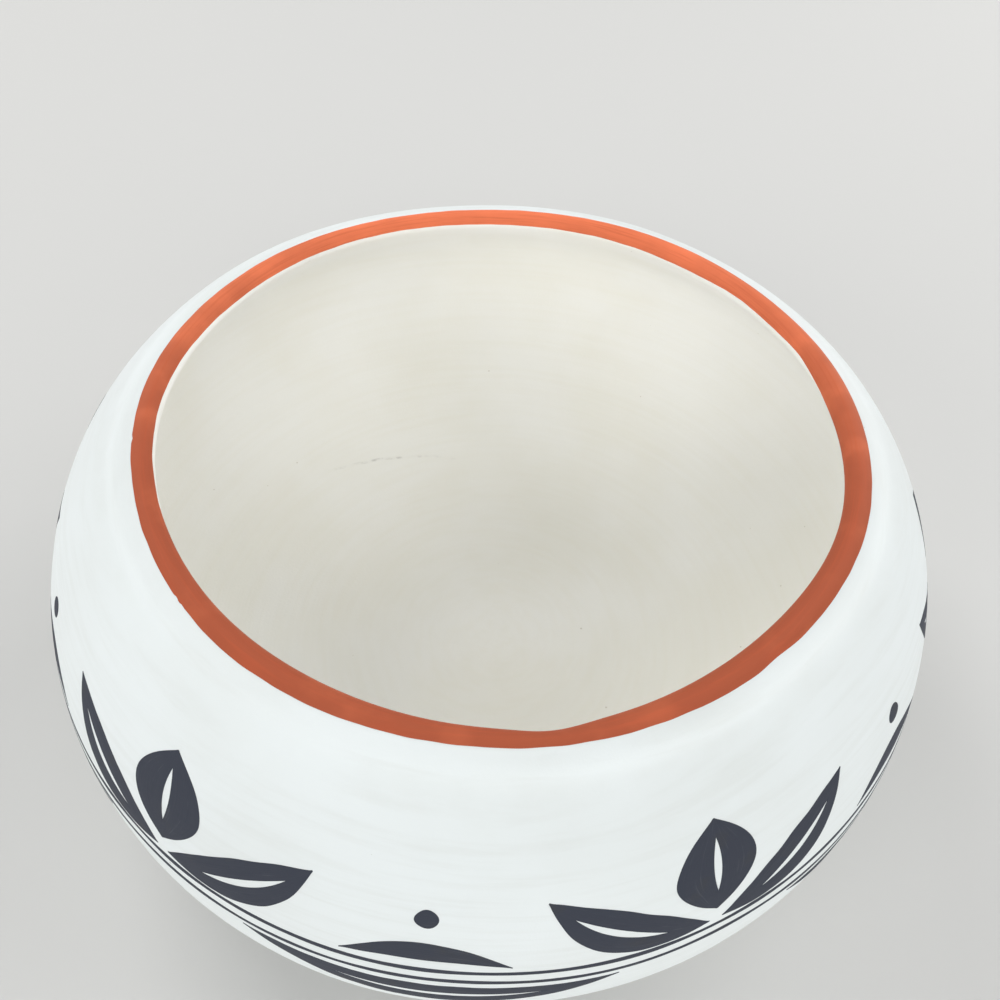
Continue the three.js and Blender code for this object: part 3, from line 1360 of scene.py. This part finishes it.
@dataclass(frozen=True)
class Leaf:
    """A brushed leaf in the unrolled wall, with a bare vein along its spine.

    Its places are across, along the belly, and up, along the wall from the framing line that it stands on
    or, below 0, hangs from.
    """

    base: Span
    tip: Span
    camber: float
    width: float
    vein_width: float = 1.5
    vein_start: float = 0.24
    vein_end: float = 0.82
    point: float = 0.12
    tremor: Tremor = Tremor(0.07, 12.0)
    grid: tuple[int, int] = (56, 6)

    def size(self) -> Span:
        """The length of the leaf from base to tip, and the width of one half."""
        return math.dist(self.base, self.tip), self.width / 2

    def sheets(self, seed: int) -> list[Placing]:
        """Its two halves, which meet along the spine: what gives their places for one seed.

        Args:
            seed: Which leaf it is.

        Returns:
            What gives the places of each half.
        """
        return [
            lambda along, across: self._spots(along, across - 1 - SPINE_GAP, seed),
            lambda along, across: self._spots(along, across + SPINE_GAP, seed),
        ]

    def _spots(self, along: np.ndarray, across: np.ndarray, seed: int) -> np.ndarray:
        """Places in the leaf.

        Args:
            along: Shares of the way from base to tip.
            across: From -1 at the right edge over 0 at the spine to 1 at the left edge.
            seed: Which leaf it is.

        Returns:
            Places across and up the unrolled wall.
        """
        base, tip = np.array(self.base), np.array(self.tip)
        length = self.size()[0]
        way = (tip - base) / length
        square = np.array([-way[1], way[0]])
        bow = 2 * along * (1 - along)
        spine = base + np.outer(along, tip - base) + np.outer(bow * 2 * self.camber, square)
        run = along * length
        unsteady = np.where(across < 0, self.tremor.at(run, seed), self.tremor.at(run, seed + 1))
        half = np.sqrt((bow * self.width) ** 2 + self.point**2) + unsteady * np.minimum(4 * bow, 1)
        vein = self._vein(along)
        offset = np.sign(across) * (vein + (half - vein) * np.abs(across))
        return spine + offset[:, None] * square

    def _vein(self, along: np.ndarray) -> np.ndarray:
        """Half the width of the bare vein at shares of the way."""
        share = np.clip((along - self.vein_start) / (self.vein_end - self.vein_start), 0, 1)
        return 2 * share * (1 - share) * self.vein_width


@dataclass(frozen=True)
class Dot:
    """A brushed dot that is nearly round, at a place across and up the unrolled wall."""

    centre: Span
    radius: float
    tremor: Tremor = Tremor(0.1, 5.0)
    grid: tuple[int, int] = (16, 16)

    def size(self) -> Span:
        """The dot's width and height."""
        return 2 * self.radius, 2 * self.radius

    def sheets(self, seed: int) -> list[Placing]:
        """Its one sheet: what gives its places for one seed.

        Args:
            seed: Which dot it is.

        Returns:
            What gives its places.
        """
        return [lambda along, across: self._spots(2 * along - 1, 2 * across - 1, seed)]

    def _spots(self, u: np.ndarray, v: np.ndarray, seed: int) -> np.ndarray:
        """Places in the dot.

        Args:
            u: From -1 to 1 across the square that becomes the dot.
            v: From -1 to 1 up that square.
            seed: Which dot it is.

        Returns:
            Places across and up the unrolled wall.
        """
        disc = np.column_stack([u * np.sqrt(1 - v * v / 2), v * np.sqrt(1 - u * u / 2)])
        run = np.arctan2(disc[:, 1], disc[:, 0]) * self.radius
        reach = self.radius + self.tremor.at(run, seed, FULL_TURN * self.radius)
        return np.array(self.centre) + disc * reach[:, None]


@dataclass(frozen=True)
class Brush:
    """Paints shapes from the unrolled wall onto the bowl."""

    skin: Skin
    coats: Coats
    lines: FramingLines

    def paint(self, name: str, shape: Leaf | Dot, turn: float, seed: int) -> bpy.types.Object:
        """Paints a shape.

        Args:
            name: The piece's name.
            shape: The leaf or dot.
            turn: The turn of the middle that its places are counted from.
            seed: Which shape it is.

        Returns:
            The closed piece.
        """
        sheets = [
            Bench.laid(name, shape.grid, self._wrapped(spots, turn), shape.size())
            for spots in shape.sheets(seed)
        ]
        return Bench.coat(Bench.joined(sheets), self.coats.paint - self.coats.slip)

    def _wrapped(self, spots: Placing, turn: float) -> Placing:
        """Wraps a sheet of the unrolled wall round the bowl.

        Args:
            spots: Gives the sheet's places across and up the unrolled wall.
            turn: The turn of the middle that they are counted from.

        Returns:
            What gives its places on the bowl, in millimetres.
        """
        outside = self.skin.vessel.outside()
        above = outside.distance_at(self.lines.height(0)) + self.lines.line_width / 2
        below = outside.distance_at(self.lines.height(1)) - self.lines.line_width / 2

        def place(along: np.ndarray, across: np.ndarray) -> np.ndarray:
            """Places on the bowl.

            Args:
                along: Shares of the way along the sheet.
                across: Shares of the way across it.

            Returns:
                The places in millimetres.
            """
            sideways, up = spots(along, across).T
            start = above if up.mean() > 0 else below
            turns = turn + sideways / self.skin.vessel.belly_radius
            return self.skin.place(start + up, turns, self.coats.paint)

        return place


@dataclass(frozen=True)
class LeafBorder:
    """Sprigs on the upper line, an arc and a dot between each two, and a long leaf below each arc."""

    brush: Brush
    material: bpy.types.Material
    repeats: int = 6
    seeds: int = 100
    first_sprig: float = 25.0
    paint_gap: float = 1.4
    centre_lift: float = 3.0
    centre_length: float = 19.0
    centre_width: float = 15.0
    side_start: float = 1.2
    side_span: float = 27.0
    side_rise: float = 15.0
    side_camber: float = 2.5
    side_width: float = 9.5
    arc_gap: float = 5.0
    arc_camber: float = 3.5
    arc_width: float = 4.5
    dot_gap: float = 3.6
    dot_radius: float = 1.9
    lower_gap: float = 32.0
    lower_camber: float = 5.0
    lower_width: float = 9.0

    @property
    def pitch(self) -> float:
        """The way round the belly from one sprig to the next."""
        return FULL_TURN * self.brush.skin.vessel.belly_radius / self.repeats

    def build(self) -> None:
        """Paints every repeat."""
        for repeat in range(1, self.repeats + 1):
            turn = math.radians(self.first_sprig) + (repeat - 1) * FULL_TURN / self.repeats
            self._sprig(repeat, turn)
            self._between(repeat, turn + math.pi / self.repeats)

    def _sprig(self, repeat: int, turn: float) -> None:
        """Paints three leaves that rise from one place.

        Args:
            repeat: Which repeat it is, from 1.
            turn: The turn of its middle.
        """
        foot = self.paint_gap + self.centre_lift
        centre = Leaf((0, foot), (0, foot + self.centre_length), 0, self.centre_width)
        self._paint(Motif.CENTRE_LEAF, repeat, turn, centre)
        for motif, side in ((Motif.LEFT_LEAF, -1), (Motif.RIGHT_LEAF, 1)):
            base = (side * self.side_start, self.paint_gap)
            tip = (side * (self.side_start + self.side_span), self.paint_gap + self.side_rise)
            self._paint(motif, repeat, turn, Leaf(base, tip, -side * self.side_camber, self.side_width))

    def _between(self, repeat: int, turn: float) -> None:
        """Paints the arc and dot between two sprigs, and the long leaf below them.

        Args:
            repeat: Which repeat it is, from 1.
            turn: The turn of its middle.
        """
        half = self.pitch / 2 - (self.side_start + self.side_span + self.arc_gap)
        crescent = Leaf(
            (-half, self.paint_gap), (half, self.paint_gap), self.arc_camber, self.arc_width, vein_width=0,
        )
        self._paint(Motif.SHOULDER_ARC, repeat, turn, crescent)
        up = self.paint_gap + self.arc_camber + self.arc_width / 2 + self.dot_gap + self.dot_radius
        self._paint(Motif.SHOULDER_DOT, repeat, turn, Dot((0, up), self.dot_radius))
        half = (self.pitch - self.lower_gap) / 2
        hung = -self.paint_gap
        lower = Leaf((-half, hung), (half, hung), -self.lower_camber, self.lower_width)
        self._paint(Motif.LOWER_LEAF, repeat, turn, lower)

    def _paint(self, motif: Motif, repeat: int, turn: float, shape: Leaf | Dot) -> None:
        """Paints and dresses one shape of a repeat.

        Args:
            motif: Which shape it is.
            repeat: Which repeat it is in.
            turn: The turn of the middle that its places are counted from.
            shape: The leaf or dot.
        """
        node = f"{motif.name.lower()}_{repeat}"
        name = "brushed_" + node.removeprefix("shoulder_")
        piece = self.brush.paint(name, shape, turn, self.seeds * repeat + motif.value)
        dress(piece, self.material, [node])


@dataclass(frozen=True)
class Lamp:
    """A square soft lamp that faces the bowl from a turn and an elevation, both in degrees."""

    name: str
    turn: float
    elevation: float
    power: float
    size: float = 0.6
    distance: float = 1.2
    aim: float = 0.05

    def hang(self) -> None:
        """Hangs the lamp."""
        data = bpy.data.lights.new(self.name, "AREA")
        data.energy = self.power
        data.size = self.size
        hung = bpy.data.objects.new(self.name, data)
        bpy.context.scene.collection.objects.link(hung)
        turn, rise = math.radians(self.turn), math.radians(self.elevation)
        level = math.cos(rise)
        away = Vector((math.sin(turn) * level, -math.cos(turn) * level, math.sin(rise)))
        hung.location = away * self.distance + Vector((0, 0, self.aim))
        hung.rotation_mode = "QUATERNION"
        hung.rotation_quaternion = (-away).to_track_quat("-Z", "Y")


@dataclass(frozen=True)
class Studio:
    """A plain pale floor, which fades into a plain pale backdrop, under soft light from all round."""

    floor_colour: Colour = srgb(205, 205, 203)
    backdrop: Colour = srgb(221, 221, 219)
    floor_reach: float = 4.0
    floor_roughness: float = 0.9
    paper: Texture = Texture(3.0, height=0.02)
    fade: Span = (350.0, 1100.0)
    white: Colour = srgb(255, 255, 255)
    sky: float = 0.333
    lamps: tuple[Lamp, ...] = (
        Lamp("low_front_lamp", 0, 25, 1.66),
        Lamp("front_lamp", 0, 45, 2.78),
        Lamp("right_front_lamp", 45, 25, 1.98),
        Lamp("right_lamp", 90, 45, 2.21),
        Lamp("right_back_lamp", 135, 25, 4.72),
        Lamp("left_back_lamp", 225, 45, 5.6),
        Lamp("left_front_lamp", 315, 25, 3.56),
        Lamp("top_lamp", 0, 88, 0.54),
    )

    def build(self) -> None:
        """Lays the floor, and hangs the lamps and the sky."""
        self._floor()
        for lamp in self.lamps:
            lamp.hang()
        self._sky()

    def _floor(self) -> None:
        """Lays the floor, which fades into the backdrop where it is seen."""
        Bench.clear()
        bpy.ops.mesh.primitive_plane_add(size=2 * self.floor_reach, location=(0, 0, 0))
        floor = bpy.context.object
        floor.name = "studio_floor"
        recipe = Recipe.named("studio_floor")
        relief = recipe.noise(recipe.here(), self.paper) * self.paper.height
        near = recipe.surface(self.floor_colour, self.floor_roughness, relief, {})
        far = recipe.glow("ShaderNodeEmission", self.backdrop, 1.0)
        recipe.sent(recipe.mixed(near, far, recipe.distance_out().rise(*self.fade) * recipe.seen()))
        floor.data.materials.append(recipe.holder)

    def _sky(self) -> None:
        """Sets the sky, which lights the bowl evenly and is seen as the backdrop."""
        world = bpy.data.worlds.new("studio")
        bpy.context.scene.world = world
        recipe = Recipe(world)
        light = recipe.glow("ShaderNodeBackground", self.white, self.sky)
        view = recipe.glow("ShaderNodeBackground", self.backdrop, 1.0)
        recipe.sent(recipe.mixed(light, view, recipe.seen()), "ShaderNodeOutputWorld")


@dataclass(frozen=True)
class Camera:
    """The camera at the photograph's angle, which looks steeply down into the mouth."""

    image_side: float = 1000.0
    sensor: float = 36.0
    focal_pixels: float = 963.0
    axis_pixel: Span = (549.05, 449.05)
    mouth_pixel: Span = (507.63, 408.15)
    mouth_height: float = 86.24
    distance: float = 182.08
    elevation: float = 44.7
    roll: float = -3.33
    nearest: float = 0.01

    def build(self) -> None:
        """Sets the camera up."""
        data = bpy.data.cameras.new("camera")
        data.sensor_width = self.sensor
        data.lens = self.focal_pixels * self.sensor / self.image_side
        data.shift_x = 0.5 - self.axis_pixel[0] / self.image_side
        data.shift_y = self.axis_pixel[1] / self.image_side - 0.5
        data.clip_start = self.nearest
        camera = bpy.data.objects.new("camera", data)
        bpy.context.scene.collection.objects.link(camera)
        camera.matrix_world = self._pose()
        bpy.context.scene.camera = camera

    def _pose(self) -> Matrix:
        """The camera's place and turn.

        It is aimed at the mouth, rolled, and then turned until the mouth is at its pixel.

        Returns:
            Its matrix in the world.
        """
        mouth = Vector((0, 0, self.mouth_height))
        rise = math.radians(self.elevation)
        back = Vector((0, -math.cos(rise), math.sin(rise)))
        right = Vector((1, 0, 0))
        up = right.cross(-back)
        aimed = Matrix((right, up, -back))
        rolled = Matrix.Rotation(math.radians(self.roll), 3, "Z") @ aimed
        sight = Vector((
            (self.mouth_pixel[0] - self.axis_pixel[0]) / self.focal_pixels,
            (self.axis_pixel[1] - self.mouth_pixel[1]) / self.focal_pixels,
            1,
        ))
        turned = Vector((0, 0, 1)).rotation_difference(sight).to_matrix() @ rolled
        axes = Matrix((turned[0], turned[1], -turned[2])).transposed()
        return Matrix.Translation((mouth + back * self.distance) * MM) @ axes.to_4x4()


def main() -> None:
    """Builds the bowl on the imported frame, and sets up the studio."""
    logging.basicConfig(level=logging.INFO, format="%(message)s")
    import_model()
    bpy.context.scene.view_settings.view_transform = "Standard"
    Camera().build()
    Studio().build()
    vessel, coats = Vessel(), Coats()
    skin = Skin(vessel)
    charcoal = CharcoalPaint().material()
    ClayBody(vessel, FiredClay().material()).build()
    SlipCoat(skin, coats, WhiteSlip().material()).build()
    LipBand(skin, coats, RedSlip().material()).build()
    lines = FramingLines(skin, coats, charcoal)
    lines.build()
    LeafBorder(Brush(skin, coats, lines), charcoal).build()


if __name__ == "__main__":
    main()
